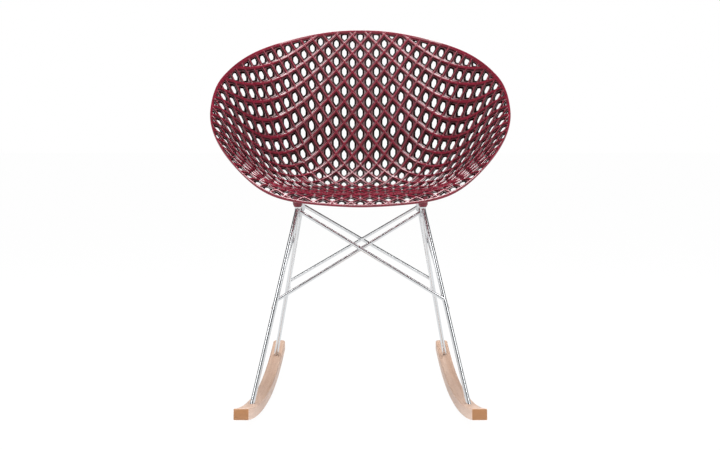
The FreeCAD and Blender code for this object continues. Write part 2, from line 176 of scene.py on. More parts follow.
# Bosses under the seat
MOUNT_HEIGHT = 0.400
BOSS_PLACES = [(0.1235, -0.110), (0.124, 0.110)]
BOSS_RADIUS = 0.0095
BOSS_BORE = 0.0063
# Only the mouth of the bore is modelled
BORE_MOUTH = 0.0012
BOSS_SIDES = 40
# The tapered foot, as (distance in from the boss's side, height)
BOSS_FOOT = [
    (0.0028, 0.0), (0.0025, 0.0003), (0.0021, 0.0010), (0.0015, 0.0022), (0.0008, 0.0036),
    (0.0, 0.0052),
]
# Where it spreads into the seat, as (distance out from its side, level, drop)
BOSS_ROOT = [(0.0008, -0.0052, 0.003), (0.0035, -0.0036, 0.0)]
# The seat is looked for up to this far over a mount
HIGHEST_BOSS = 0.120
HEIGHT_HALVINGS = 30

# Rockers
ROCKER_WIDTH = 0.027
ROCKER_THICKNESS = 0.020
ROCKER_HALF_LENGTH = 0.404
ROCKER_INNER_FACE = 0.186
ROCKER_PIVOT = ROCKER_INNER_FACE + ROCKER_WIDTH / 2
ROCKER_TOE_OUT = math.radians(1.535)
ROCKER_CONTACT = 0.0185
ROCKER_FRONT_RADIUS = 2.350
ROCKER_REAR_RADIUS = 1.650
ROCKER_EDGE = 0.0016
ROCKER_SECTIONS = 72
# The eased front end, as (distance from it, how much it is drawn in)
ROCKER_FRONT_END = [(0.0, 0.0008), (0.0003, 0.0003), (0.0009, 0.0)]
# The rounded rear corners, in the angles of their sections: their radius, the share of it that
# narrows the end, and how much thinner the last section is. A sliver is trimmed off, because
# toeing out lengthens the rocker.
ROCKER_REAR_STEPS = range(15, 91, 15)
ROCKER_REAR_CORNER = 0.007
ROCKER_REAR_SHARE = 0.98
ROCKER_REAR_THIN = 0.0008
ROCKER_REAR_TRIM = 0.0002
# The two rockers lie so far to either side of the grain's middle
GRAIN_SHIFT = 0.1

# Leg sockets in the rockers, and the screws' holes with their counterbores
SOCKET_DEPTH = 0.0107
SOCKET_GAP = 0.0004
SCREW_HOLE_RADIUS = 0.0028
SCREW_HOLE_LAP = 0.002
COUNTERBORE_RADIUS = 0.00535
COUNTERBORE_DEPTH = 0.0045
CUTTER_REACH = 0.010

# Steel base
LEG_ROUNDING = 0.0015
ROD_SIDES = 36
# The spread of a brace's end in its weld, as (distance from the end, extra radius)
BRACE_FLARE = [(0.0000, 0.0010), (0.0006, 0.0006), (0.0015, 0.0002), (0.0026, 0.0)]
BRACE_PAIRS = [
    (f"{kind}_1", f"{kind}_2")
    for kind in ("cross_brace_front", "cross_brace_rear", "side_brace_left", "side_brace_right")
]
BUSH_RADIUS = 0.006
WELD_RADIUS = 0.0016
WELD_SIDES = 16
CROSSING_WELD_LENGTH = 0.007
BUSH_WELD_LENGTH = 0.0085
# A bush's two beads lie so far down the leg, and in shares of the bush's radius so far from its
# middle towards the leg and to either side
BUSH_WELD_DOWN = 0.007
BUSH_WELD_TOWARDS = 0.93
BUSH_WELD_ASIDE = 0.52

# Camera, as fitted to the photograph's proportions, with lens and sensor in millimetres
CAMERA_PLACE = (0.0, -2.869, 0.530)
CAMERA_LENS = 70.0
CAMERA_SENSOR = 36.0
CAMERA_SHIFT = (-0.0005, -0.1167)
# Softboxes, as (name, place, target, size, watts)
SOFTBOXES = [
    ("overhead", (0.0, -0.35, 2.3), (0.0, 0.0, 0.4), (2.8, 2.0), 66.0),
    ("front_left", (-1.9, -1.9, 1.5), (0.0, 0.0, 0.45), (0.9, 1.3), 15.0),
    ("front_right", (1.9, -1.9, 1.5), (0.0, 0.0, 0.45), (0.9, 1.3), 15.0),
]
# Bright bands in the shell's gloss, as (name, place, size, watts)
GLOSS_BANDS = [
    ("gloss_overhead", (0.0, -0.10, 2.2), (1.6, 0.7), 60.0),
    ("gloss_left", (-1.5, -0.9, 2.0), (0.4, 0.9), 14.0),
    ("gloss_right", (1.5, -0.9, 2.0), (0.4, 0.9), 14.0),
]
GLOSS_TARGET = (0.0, 0.0, 0.5)
# What gloss sees of the surroundings, as (sine of the height angle, colour)
GLOSS_SKY = [
    (0.0, "#f4f4f4"), (0.12, "#f0f0f0"), (0.22, "#6a6a6a"), (0.55, "#4a4a4a"), (0.7, "#6e6e6e"),
    (1.0, "#6e6e6e"),
]
AMBIENT = 0.42
PAPER_REACH = 60.0
PAPER_GLOW = 1.03
PAPER_GLOW_SHARE = 0.94

SIDES = {"left": -1, "right": 1}
ENDS = ("front", "rear")
# Degrees round a rounded corner
QUARTER_TURN = (0, 22.5, 45, 67.5, 90)
# A colour mix node's two colours and its result, by number
MIX_A, MIX_B, MIX_RESULT = 6, 7, 2


def smooth_curve(points):
    """A curve through (place, value) points with no overshoot at its bends."""
    places = np.array([p[0] for p in points])
    values = np.array([p[1] for p in points])
    spans = np.diff(places)
    rises = np.diff(values) / spans
    inner = (rises[:-1] * spans[1:] + rises[1:] * spans[:-1]) / (spans[:-1] + spans[1:])
    bends = np.concatenate([rises[:1], inner, rises[-1:]])

    def value(place):
        i = np.clip(np.searchsorted(places, place) - 1, 0, len(spans) - 1)
        t = (place - places[i]) / spans[i]
        start = (1 + 2 * t) * (1 - t) ** 2 * values[i] + t * (1 - t) ** 2 * spans[i] * bends[i]
        end = t * t * (3 - 2 * t) * values[i + 1] + t * t * (t - 1) * spans[i] * bends[i + 1]
        return start + end

    return value


middle_depth = smooth_curve(MIDDLE_DEPTH)
side_depth = smooth_curve(SIDE_DEPTH)
side_steepness = smooth_curve(SIDE_STEEPNESS)
side_rounding = smooth_curve(SIDE_ROUNDING)
thigh_rise = smooth_curve(THIGH_RISE)


def front_edge(x):
    """Where the seat's front edge lies on the draw plane."""
    share = np.minimum(np.abs(x) / SHELL_HALF_WIDTH, 1.0)
    return RIM_CENTRE - FRONT_REACH * (1 - share**FRONT_SQUARENESS) ** (1 / FRONT_SQUARENESS)


def outline_half(lengthways):
    """Squareness and reach of the seat's outline, behind its centre or in front of it."""
    back = lengthways >= 0
    squareness = np.where(back, BACK_SQUARENESS, FRONT_SQUARENESS)
    return squareness, np.where(back, BACK_REACH, FRONT_REACH)


def corner_share(across, lengthways):
    """How near a direction from the middle is to a front corner, from 0 to 1."""
    turn = (np.arctan2(-lengthways, across) - CORNER_PLACE) / CORNER_SPREAD
    return np.where(lengthways < 0, np.exp(-turn * turn), 0.0)


def from_rim(x, along):
    """Distance in from the seat's outline, towards its middle."""
    squareness, reach = outline_half(along - RIM_CENTRE)
    across, lengthways = np.abs(x) / SHELL_HALF_WIDTH, (along - RIM_CENTRE) / reach
    out = (across**squareness + np.abs(lengthways) ** squareness) ** (1 / squareness)
    size = 1 + CORNER_BULGE * corner_share(across, lengthways)
    return (1 - out / size) * np.hypot(x, along - RIM_CENTRE)


def front_form(x, along):
    """The rise under the thighs, less the drop of the lip at the front corners."""
    beyond = np.clip(along - front_edge(x), THIGH_NEAREST, THIGH_FARTHEST)
    fade = np.maximum(1 - (x / THIGH_HALF_WIDTH) ** 2, 0.0) ** THIGH_FADE
    corner = corner_share(np.abs(x) / SHELL_HALF_WIDTH, (along - RIM_CENTRE) / FRONT_REACH)
    near_rim = np.clip(1 - from_rim(x, along) / CORNER_LIP, 0.0, CORNER_LIP_END)
    return thigh_rise(beyond) * fade - CORNER_DROP * corner * near_rim**2


def seat_height(x, along):
    """Height of the sitting surface over the draw plane."""
    share = np.minimum(np.abs(x) / SIDE_REFERENCE, SIDE_FARTHEST) ** side_steepness(along)
    rounding = side_rounding(along)
    bend = (1 - np.cos(np.pi * np.minimum(share, 1.0))) / 2
    rise = (1 - rounding) * share + rounding * bend
    middle = middle_depth(along)
    return (middle - side_depth(along)) * rise - middle + front_form(x, along)


def slopes(x, along):
    """How steeply the sitting surface rises across and along the draw plane."""
    step = SLOPE_STEP
    across = (seat_height(x + step, along) - seat_height(x - step, along)) / (2 * step)
    lengthways = (seat_height(x, along + step) - seat_height(x, along - step)) / (2 * step)
    return across, lengthways


def stretch(x, along):
    """How much longer a step square to the surface is along the draw direction."""
    across, lengthways = slopes(x, along)
    return np.sqrt(1 + across**2 + lengthways**2)


def to_chair(x, along, height):
    """From the draw plane to the chair's own frame."""
    c, s = math.cos(SHELL_LEAN), math.sin(SHELL_LEAN)
    y = along * c - height * s
    z = along * s + height * c + SHELL_CENTRE_HEIGHT
    return np.stack([x, y, z], axis=-1)


def to_draw_plane(x, y, z):
    """From the chair's own frame to the draw plane, as across, along and height."""
    c, s = math.cos(SHELL_LEAN), math.sin(SHELL_LEAN)
    rise = z - SHELL_CENTRE_HEIGHT
    return x, y * c + rise * s, rise * c - y * s


def shell_points(flat, level):
    """Places on the draw plane, raised to this level over the sitting surface: square to it,
    and along the draw direction at the rim."""
    x, along = flat[..., 0], flat[..., 1]
    across, lengthways = slopes(x, along)
    longer = np.sqrt(1 + across**2 + lengthways**2)
    square = np.clip(from_rim(x, along) / SQUARE_FROM, 0.0, 1.0)
    move = level * square / longer
    height = seat_height(x, along) + level * (1 - square) * longer + move
    return to_chair(x - move * across, along - move * lengthways, height)


def within_rim(flat, inset):
    """Whether places on the draw plane lie inside the outline, drawn in by a distance."""
    x, along = flat[..., 0], flat[..., 1] - RIM_CENTRE
    squareness, reach = outline_half(along)
    across, lengthways = np.abs(x) / (SHELL_HALF_WIDTH - inset), along / (reach - inset)
    size = 1 + CORNER_BULGE * corner_share(across, lengthways)
    return (across / size) ** squareness + (np.abs(lengthways) / size) ** squareness < 1


def rim_outline(angle, inset):
    """Places on the seat's outline, drawn in by a distance."""
    c, s = np.cos(angle), np.sin(angle)
    squareness, reach = outline_half(s)
    across = np.sign(c) * np.abs(c) ** (2 / squareness)
    lengthways = np.sign(s) * np.abs(s) ** (2 / squareness)
    size = 1 + CORNER_BULGE * corner_share(np.abs(across), lengthways)
    x, along = (SHELL_HALF_WIDTH - inset) * across, (reach - inset) * lengthways
    return np.stack([x * size, RIM_CENTRE + along * size], axis=-1)


class Mesh:
    """Vertices and faces collected for one piece, with each face's finish and each vertex's painted
    shade.
    """

    def __init__(self):
        self.points = []
        self.shades = []
        self.faces = []
        self.finishes = []

    def add(self, points, shade=0.0):
        """New vertices with one value of painted shade; gives their numbers."""
        start = len(self.points)
        self.points.extend(map(tuple, points))
        self.shades.extend([shade] * len(points))
        return list(range(start, start + len(points)))

    def face(self, corners, finish=0):
        self.faces.append(tuple(corners))
        self.finishes.append(finish)

    def band(self, ring, other, finish=0):
        """Quads between two closed rings with as many points."""
        for i in range(len(ring)):
            j = (i + 1) % len(ring)
            self.face((ring[i], ring[j], other[j], other[i]), finish)

    def fan(self, ring, centre):
        """Triangles from a closed ring to one vertex."""
        for i, corner in enumerate(ring):
            self.face((corner, ring[(i + 1) % len(ring)], centre))

    def data(self, name):
        """The vertices and faces alone, as a Blender mesh."""
        mesh = bpy.data.meshes.new(name)
        mesh.from_pydata(self.points, [], self.faces)
        return mesh

    def piece(self, name, materials, sharp=None, merge=0.0, replaces=()):
        """The finished piece, in place on the chair."""
        mesh = self.data(name)
        for material in materials:
            mesh.materials.append(material)
        mesh.polygons.foreach_set("material_index", self.finishes)
        # Painted shade at each vertex, by which the plastic's materials darken their colour
        shades = mesh.attributes.new("shade", "FLOAT", "POINT")
        shades.data.foreach_set("value", self.shades)
        bm = bmesh.new()
        bm.from_mesh(mesh)
        if merge:
            bmesh.ops.remove_doubles(bm, verts=bm.verts, dist=merge)
            bmesh.ops.dissolve_degenerate(bm, edges=bm.edges, dist=merge / 4)
        bmesh.ops.recalc_face_normals(bm, faces=bm.faces)
        bm.to_mesh(mesh)
        bm.free()
        mesh.shade_smooth()
        if sharp is not None:
            mesh.set_sharp_from_angle(angle=sharp)
        obj = placed(name, mesh)
        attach(obj, "root")
        if replaces:
            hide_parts(*replaces)
        return obj


def placed(name, data):
    """A new object in the scene."""
    obj = bpy.data.objects.new(name, data)
    bpy.context.scene.collection.objects.link(obj)
    return obj


def linear(hex_colour):
    """An sRGB hex colour as linear red, green, blue and alpha."""
    parts = [int(hex_colour[i:i + 2], 16) / 255 for i in (1, 3, 5)]
    return (*[p / 12.92 if p <= 0.04045 else ((p + 0.055) / 1.055) ** 2.4 for p in parts], 1.0)


def add_node(tree, kind, links=(), **settings):
    """A node with its settings, and links as (input name or number, socket)."""
    node = tree.nodes.new(kind)
    for name, value in settings.items():
        if hasattr(node, name):
            setattr(node, name, value)
        else:
            node.inputs[name.replace("_", " ")].default_value = value
    for place, socket in links:
        tree.links.new(socket, node.inputs[place])
    return node


def new_material(name):
    """An empty material and its shader and output, linked."""
    material = bpy.data.materials.new(name)
    material.use_nodes = True
    tree = material.node_tree
    tree.nodes.clear()
    shader = tree.nodes.new("ShaderNodeBsdfPrincipled")
    output = tree.nodes.new("ShaderNodeOutputMaterial")
    tree.links.new(shader.outputs["BSDF"], output.inputs["Surface"])
    return material, tree, shader


def set_ramp(node, stops):
    """Gives a colour ramp its (position, hex colour) stops, the first and the last one on
    the two that it starts with."""
    elements = node.color_ramp.elements
    for element, (position, colour) in ((elements[0], stops[0]), (elements[1], stops[-1])):
        element.position, element.color = position, linear(colour)
    for position, colour in stops[1:-1]:
        elements.new(position).color = linear(colour)


def red_polypropylene(name, dark, pale, roughness):
    """Injection-moulded polypropylene, dark red: the mould's polish gives the ribs a
    wet-looking gloss, over the faint waviness of shrinkage, and thin webs between them get a
    paler, duller copy whose paler colour is a painted sheen. Painted shade darkens the colour
    at the feet of the ribs, where little light reaches."""
    material, tree, shader = new_material(name)
    place = add_node(tree, "ShaderNodeTexCoord").outputs["Object"]
    # Flow marks some 60 mm across, barely seen
    flow = add_node(tree, "ShaderNodeTexNoise", [("Vector", place)], Scale=1 / 0.06, Detail=3.0)
    colour = add_node(tree, "ShaderNodeValToRGB", [("Fac", flow.outputs["Fac"])])
    set_ramp(colour, [(0.3, dark), (0.7, pale)])
    # Painted shade: the shade attribute mixes the colour towards near black
    shade = add_node(tree, "ShaderNodeAttribute", attribute_name="shade")
    painted_shade_colour = add_node(
        tree, "ShaderNodeMix",
        [("Factor", shade.outputs["Fac"]), (MIX_A, colour.outputs["Color"])], data_type="RGBA",
    )
    painted_shade_colour.inputs[MIX_B].default_value = linear("#140305")
    tree.links.new(painted_shade_colour.outputs[MIX_RESULT], shader.inputs["Base Color"])
    # Waviness 4 mm across
    peel = add_node(tree, "ShaderNodeTexNoise", [("Vector", place)], Scale=1 / 0.004, Detail=1.0)
    bump = add_node(
        tree, "ShaderNodeBump", [("Height", peel.outputs["Fac"])], Strength=0.03, Distance=0.0003
    )
    tree.links.new(bump.outputs["Normal"], shader.inputs["Normal"])
    shader.inputs["Roughness"].default_value = roughness
    shader.inputs["IOR"].default_value = 1.49
    return material


def wall_plastic_painted_shade():
    """The same plastic on the walls of the openings, with the mould's spark-eroded grain and
    its drawing marks, its colour painted nearly black as painted shade, with hardly any gloss."""
    material, tree, shader = new_material("polypropylene_walls_painted_shade")
    place = add_node(tree, "ShaderNodeTexCoord").outputs["Object"]
    # Grain 0.8 mm across
    grain = add_node(tree, "ShaderNodeTexNoise", [("Vector", place)], Scale=1 / 0.0008, Detail=2.0)
    colour = add_node(tree, "ShaderNodeValToRGB", [("Fac", grain.outputs["Fac"])])
    # Painted shade: a nearly black colour, with a random grain in it
    set_ramp(colour, [(0.0, "#080102"), (1.0, "#140304")])
    tree.links.new(colour.outputs["Color"], shader.inputs["Base Color"])
    shader.inputs["Roughness"].default_value = 0.6
    shader.inputs["Specular IOR Level"].default_value = 0.02
    return material


def bright_chrome():
    """Bright chrome over nickel on polished steel rod: a mirror with a soft haze from the
    drawing of the rod."""
    material, tree, shader = new_material("bright_chrome_plate")
    place = add_node(tree, "ShaderNodeTexCoord").outputs["Object"]
    # Haze in patches 25 mm long
    haze = add_node(tree, "ShaderNodeTexNoise", [("Vector", place)], Scale=1 / 0.025, Detail=4.0)
    rough = add_node(
        tree, "ShaderNodeMapRange", [("Value", haze.outputs["Fac"])], To_Min=0.16, To_Max=0.24
    )
    tree.links.new(rough.outputs["Result"], shader.inputs["Roughness"])
    shader.inputs["Base Color"].default_value = linear("#d9dbdd")
    shader.inputs["Metallic"].default_value = 1.0
    return material


def chromed_weld():
    """Chromed weld beads, a little darker than the rods and rippled 1.2 mm apart."""
    material, tree, shader = new_material("chromed_weld")
    place = add_node(tree, "ShaderNodeTexCoord").outputs["Object"]
    ripple = add_node(tree, "ShaderNodeTexNoise", [("Vector", place)], Scale=1 / 0.0012, Detail=1.0)
    bump = add_node(
        tree, "ShaderNodeBump", [("Height", ripple.outputs["Fac"])], Strength=0.3, Distance=0.0002
    )
    tree.links.new(bump.outputs["Normal"], shader.inputs["Normal"])
    shader.inputs["Base Color"].default_value = linear("#c4c6c9")
    shader.inputs["Metallic"].default_value = 1.0
    shader.inputs["Roughness"].default_value = 0.22
    return material


def lacquered_beech():
    """Steamed beech bent along its grain, under clear matt lacquer: pale pinkish tan, with
    short dark ray flecks along the grain and orange end grain."""
    material, tree, shader = new_material("lacquered_beech")
    place = add_node(tree, "ShaderNodeAttribute", attribute_name="grain").outputs["Vector"]
    # Growth bands about 5 mm apart across and 300 mm long
    stretched = add_node(tree, "ShaderNodeMapping", [("Vector", place)])
    stretched.inputs["Scale"].default_value = (1 / 0.005, 1 / 0.3, 1 / 0.012)
    bands = add_node(
        tree, "ShaderNodeTexNoise", [("Vector", stretched.outputs["Vector"])], Scale=1.0, Detail=4.0
    )
    tone = add_node(tree, "ShaderNodeValToRGB", [("Fac", bands.outputs["Fac"])])
    set_ramp(tone, [(0.3, "#d2ac93"), (0.72, "#e4c6b2")])
    # Ray flecks 0.7 mm wide and 8 mm long
    long = add_node(tree, "ShaderNodeMapping", [("Vector", place)])
    long.inputs["Scale"].default_value = (1 / 0.0007, 1 / 0.008, 1 / 0.0012)
    flecks = add_node(
        tree, "ShaderNodeTexNoise", [("Vector", long.outputs["Vector"])], Scale=1.0, Detail=1.0
    )
    fleck = add_node(
        tree, "ShaderNodeMapRange", [("Value", flecks.outputs["Fac"])], From_Min=0.62, From_Max=0.72
    )
    flecked = add_node(
        tree, "ShaderNodeMix",
        [("Factor", fleck.outputs["Result"]), (MIX_A, tone.outputs["Color"])], data_type="RGBA",
    )
    flecked.inputs[MIX_B].default_value = linear("#a9805f")
    # End grain, darker where the fibres are cut across
    facing = add_node(tree, "ShaderNodeNewGeometry").outputs["Normal"]
    parts = add_node(tree, "ShaderNodeSeparateXYZ", [("Vector", facing)])
    size = add_node(tree, "ShaderNodeMath", [(0, parts.outputs["Y"])], operation="ABSOLUTE")
    ends = add_node(
        tree, "ShaderNodeMapRange", [("Value", size.outputs["Value"])], From_Min=0.75, From_Max=0.95
    )
    colour = add_node(
        tree, "ShaderNodeMix",
        [("Factor", ends.outputs["Result"]), (MIX_A, flecked.outputs[MIX_RESULT])],
        data_type="RGBA",
    )
    colour.inputs[MIX_B].default_value = linear("#ab7a52")
    tree.links.new(colour.outputs[MIX_RESULT], shader.inputs["Base Color"])
    bump = add_node(
        tree, "ShaderNodeBump", [("Height", flecks.outputs["Fac"])], Strength=0.12, Distance=0.0002
    )
    tree.links.new(bump.outputs["Normal"], shader.inputs["Normal"])
    shader.inputs["Roughness"].default_value = 0.42
    shader.inputs["IOR"].default_value = 1.5
    return material


def turned_brass():
    """Brass turned from bar: fine rings from the tool."""
    material, tree, shader = new_material("turned_brass")
    place = add_node(tree, "ShaderNodeTexCoord").outputs["Object"]
    # Tool marks 0.8 mm apart, drawn coarse: the wave repeats at 0.314 of its unit of 2.5 mm
    rings = add_node(
        tree, "ShaderNodeTexWave", [("Vector", place)], bands_direction="Z", Scale=1 / 0.0025
    )
    bump = add_node(
        tree, "ShaderNodeBump", [("Height", rings.outputs["Fac"])], Strength=0.1, Distance=0.0001
    )
    tree.links.new(bump.outputs["Normal"], shader.inputs["Normal"])
    shader.inputs["Base Color"].default_value = linear("#c9a45a")
    shader.inputs["Metallic"].default_value = 1.0
    shader.inputs["Roughness"].default_value = 0.28
    return material


def zinc_plate():
    """Bright zinc on cold-formed steel: pale, slightly clouded."""
    material, tree, shader = new_material("bright_zinc_plate")
    place = add_node(tree, "ShaderNodeTexCoord").outputs["Object"]
    # Clouds 3 mm across
    cloud = add_node(tree, "ShaderNodeTexNoise", [("Vector", place)], Scale=1 / 0.003, Detail=3.0)
    rough = add_node(
        tree, "ShaderNodeMapRange", [("Value", cloud.outputs["Fac"])], To_Min=0.24, To_Max=0.4
    )
    tree.links.new(rough.outputs["Result"], shader.inputs["Roughness"])
    shader.inputs["Base Color"].default_value = linear("#b9bcc0")
    shader.inputs["Metallic"].default_value = 1.0
    return material


def cell_outline():
    """Places round a lattice cell about its middle, from crossing to crossing."""
    corners = [
        (0.0, HALF_PITCH_ALONG), (HALF_PITCH_ACROSS, 0.0),
        (0.0, -HALF_PITCH_ALONG), (-HALF_PITCH_ACROSS, 0.0),
    ]
    places = []
    for a, b in zip(corners, corners[1:] + corners[:1]):
        for i in range(SIDE_POINTS):
            t = i / SIDE_POINTS
            places.append((a[0] + (b[0] - a[0]) * t, a[1] + (b[1] - a[1]) * t))
    return np.array(places)


CELL = cell_outline()


def fits(flat, middle, ring):
    """Whether places on the draw plane lie where a cell's ring may run."""
    across = np.abs(flat[..., 0] - middle[0])
    along = np.abs(flat[..., 1] - middle[1])
    out = across / HALF_PITCH_ACROSS + along / HALF_PITCH_ALONG
    in_cell = (out <= 1 - ring.from_rib / CELL_INRADIUS + SLACK) & (across <= ring.half_width)
    return in_cell & within_rim(flat, ring.rim_inset)


def drawn_in(outline, hub, inside):
    """Each place of an outline moved towards the hub until it is inside."""
    low = np.where(inside(outline), 1.0, 0.0)
    high = np.ones(len(outline))
    for _ in range(HALVINGS):
        share = (low + high) / 2
        good = inside(hub + (outline - hub) * share[:, None])
        low, high = np.where(good, share, low), np.where(good, high, share)
    return hub + (outline - hub) * low[:, None]


def trimmed_outline(middle, inset):
    """A cell's outline cut off at the rim, with neighbours' shared sides cut alike."""
    outline = middle + CELL
    inside = within_rim(outline, inset)
    trimmed = outline.copy()
    for i in np.flatnonzero(inside):
        for step in (1, -1):
            far = (i + step) % len(outline)
            if inside[far]:
                continue
            side = outline[far] - outline[i]
            low, high = 0.0, 1.0
            for _ in range(HALVINGS):
                share = (low + high) / 2
                good = within_rim(outline[i] + side * share, inset)
                low, high = (share, high) if good else (low, share)
            trimmed[far] = outline[i] + side * low
    return trimmed


def cell_hub(middle):
    """Where the rings of a cell at the rim shrink to: the middle of what the rim leaves."""
    steps = np.linspace(-1, 1, HUB_GRID)
    grid = np.stack(np.meshgrid(steps * HALF_PITCH_ACROSS, steps * HALF_PITCH_ALONG), axis=-1)
    places = middle + grid.reshape(-1, 2)
    for ring in reversed(CELL_PROFILE):
        left = places[fits(places, middle, ring)]
        if len(left) > 1:
            return left.mean(axis=0)
    return None


def cell_rings(mesh, middle, outline, hub, profile, whole):
    """The rings of a cell's profile, as far as they fit round its hub."""
    rings = []
    for ring in profile:
        if whole:
            width = np.maximum(np.abs(CELL[:, 0]), TINY)
            reach = np.minimum(1 - ring.from_rib / CELL_INRADIUS, ring.half_width / width)
            flat = middle + CELL * reach[:, None]
        elif not fits(hub, middle, ring):
            break
        elif rings:
            flat = drawn_in(outline, hub, lambda places: fits(places, middle, ring))
        else:
            flat = outline
        rings.append(mesh.add(shell_points(flat, ring.level), ring.shade))
    for number, (ring, other) in enumerate(zip(rings, rings[1:]), 1):
        finish = WALL if number >= WALL_BAND else WEB if number >= WEB_BAND else PLASTIC
        mesh.band(ring, other, finish)
    return rings


def lattice_cell(mesh, middle, closed):
    """One cell: half of each rib round it, its web, and its opening or closed floor."""
    edge = CELL_PROFILE[0].rim_inset
    whole = within_rim(middle + CELL, CELL_PROFILE[-1].rim_inset).all()
    hub = middle if whole else cell_hub(middle)
    if hub is None:
        return
    outline = middle + CELL
    if not whole:
        outline = drawn_in(trimmed_outline(middle, edge), hub, lambda p: within_rim(p, edge))
    front_profile = CELL_PROFILE[:CLOSED_RINGS] if closed else CELL_PROFILE
    back_profile = BACK_PROFILE[:CLOSED_BACK_RINGS] if closed else BACK_PROFILE
    front = cell_rings(mesh, middle, outline, hub, front_profile, whole)
    back = cell_rings(mesh, middle, outline, hub, back_profile, whole)
    if len(front) == len(CELL_PROFILE) and len(back) == len(BACK_PROFILE):
        mesh.band(front[-1], back[-1], WALL)
    else:
        sides = ((front, CELL_PROFILE, CELL_FLOOR_DROP), (back, BACK_PROFILE, 0.0))
        for rings, profile, drop in sides:
            last = profile[len(rings) - 1]
            # The floor's colour is darkened by painted shade
            shade = CLOSED_FLOOR_PAINTED_SHADE if closed else max(last.shade, CELL_FLOOR_PAINTED_SHADE)
            centre = mesh.add(shell_points(np.array([hub]), last.level - drop), shade)[0]
            mesh.fan(rings[-1], centre)
    if not whole:
        on_edge = ~within_rim(outline, edge + ON_RIM)
        for i in np.flatnonzero(on_edge):
            j = (i + 1) % len(outline)
            if on_edge[j]:
                mesh.face((front[0][i], front[0][j], back[0][j], back[0][i]))


def rim_bead(mesh):
    """The rolled rim, a closed bead round the seat."""
    angles = np.arange(RIM_STEPS) * 2 * math.pi / RIM_STEPS
    rings = [
        mesh.add(shell_points(rim_outline(angles, inset), level)) for inset, level in RIM_SECTION
    ]
    for ring, other in zip(rings, rings[1:] + rings[:1]):
        mesh.band(ring, other)


def shell_top(x, y, level):
    """Height in the chair's frame where an upright line meets this level of the seat."""
    low, high = MOUNT_HEIGHT, MOUNT_HEIGHT + HIGHEST_BOSS
    for _ in range(HEIGHT_HALVINGS):
        z = (low + high) / 2
        across, along, height = to_draw_plane(x, y, z)
        surface = seat_height(across, along) + level * stretch(across, along)
        low, high = (z, high) if height < surface else (low, z)
    return low


def boss(mesh, x, y):
    """A boss: a ring with a tapered foot, up into the seat."""
    angles = np.arange(BOSS_SIDES) * 2 * math.pi / BOSS_SIDES
    directions = list(zip(np.cos(angles), np.sin(angles)))
    foot = [(BOSS_BORE, BORE_MOUTH), (BOSS_BORE, 0.0)]
    foot += [(BOSS_RADIUS - inward, rise) for inward, rise in BOSS_FOOT]
    rings = [
        mesh.add([(x + radius * a, y + radius * b, MOUNT_HEIGHT + rise) for a, b in directions])
        for radius, rise in foot
    ]
    for outward, level, drop in BOSS_ROOT:
        radius = BOSS_RADIUS + outward
        circle = [(x + radius * a, y + radius * b) for a, b in directions]
        rings.append(mesh.add([(px, py, shell_top(px, py, level) - drop) for px, py in circle]))
    for ring, other in zip(rings, rings[1:]):
        mesh.band(ring, other)


def seat(finishes):
    """The seat, one moulding: lattice, rim and bosses."""
    mesh = Mesh()
    roots = [to_draw_plane(x, y, shell_top(x, y, 0.0))[:2] for x, y in BOSS_PLACES]
    for row in ROWS:
        for column in COLUMNS:
            if (row + column) % 2:
                continue
            middle = np.array([HALF_PITCH_ACROSS * column, TOP_ROW - HALF_PITCH_ALONG * row])
            to_roots = [math.hypot(abs(middle[0]) - x, middle[1] - y) for x, y in roots]
            lattice_cell(mesh, middle, min(to_roots) < BOSS_CLEAR)
    rim_bead(mesh)
    for x, y in BOSS_PLACES:
        for side in SIDES.values():
            boss(mesh, side * x, y)
    return mesh.piece(
        "seat", finishes, SHELL_SHARP, SHELL_MERGE, ("seat_shell",)
    )


def rod_axis(node):
    """Ends and radius of a straight rod, measured on its CAD mesh."""
    points = np.array([v.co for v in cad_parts[node].data.vertices])
    middle = points.mean(axis=0)
    _, _, axes = np.linalg.svd(points - middle, full_matrices=False)
    axis = axes[0]
    along = (points - middle) @ axis
    off = points - middle - along[:, None] * axis
    # The rod's middle line runs through the middle of the box round its section
    shift = sum(((off @ a).max() + (off @ a).min()) / 2 * a for a in axes[1:])
    radius = np.linalg.norm(off - shift, axis=1).max()
    start, end = middle + shift + axis * along.min(), middle + shift + axis * along.max()
    if start[2] < end[2]:
        start, end = end, start
    return Vector(start), Vector(end), float(radius)


def turned(mesh, start, axis, sections, sides=ROD_SIDES):
    """A closed round form along an axis, with (distance along, radius) sections."""
    across = axis.orthogonal().normalized()
    other = axis.cross(across)
    rings = []
    for distance, radius in sections:
        ring = []
        for i in range(sides):
            angle = 2 * math.pi * i / sides
            out = across * math.cos(angle) + other * math.sin(angle)
            ring.append(start + axis * distance + out * radius)
        rings.append(mesh.add(ring))
    for ring, next_ring in zip(rings, rings[1:]):
        mesh.band(ring, next_ring)
    mesh.face(reversed(rings[0]))
    mesh.face(rings[-1])


def cylinder(mesh, start, end, radius):
    """A closed cylinder between two places."""
    turned(mesh, start, (end - start).normalized(), [(0.0, radius), ((end - start).length, radius)])


def dome(radius, rounding):
    """Sections of a rod's rounded end, from its tip."""
    angles = [math.radians(degrees) for degrees in reversed(QUARTER_TURN)]
    return [(rounding * (1 - math.sin(a)), radius - rounding * (1 - math.cos(a))) for a in angles]


def bead(mesh, middle, axis, length):
    """A weld bead: a short rounded rope of metal."""
    sections = dome(WELD_RADIUS, WELD_RADIUS)
    sections += [(length - d, r) for d, r in reversed(sections)]
    turned(mesh, middle - axis * length / 2, axis, sections, WELD_SIDES)


def rod(node, top, foot, sections, material):
    """A round rod that stands for a CAD node."""
    mesh = Mesh()
    turned(mesh, top, (foot - top).normalized(), sections)
    mesh.piece(node + "_rod", [material], SHARP_EDGE, replaces=(node,))


def legs(material):
    """The four legs, rounded at the top."""
    for end in ENDS:
        for side in SIDES:
            node = f"leg_{end}_{side}"
            top, foot, radius = rod_axis(node)
            length = (foot - top).length
            sections = dome(radius, LEG_ROUNDING) + [(length / 2, radius), (length, radius)]
            rod(node, top, foot, sections, material)


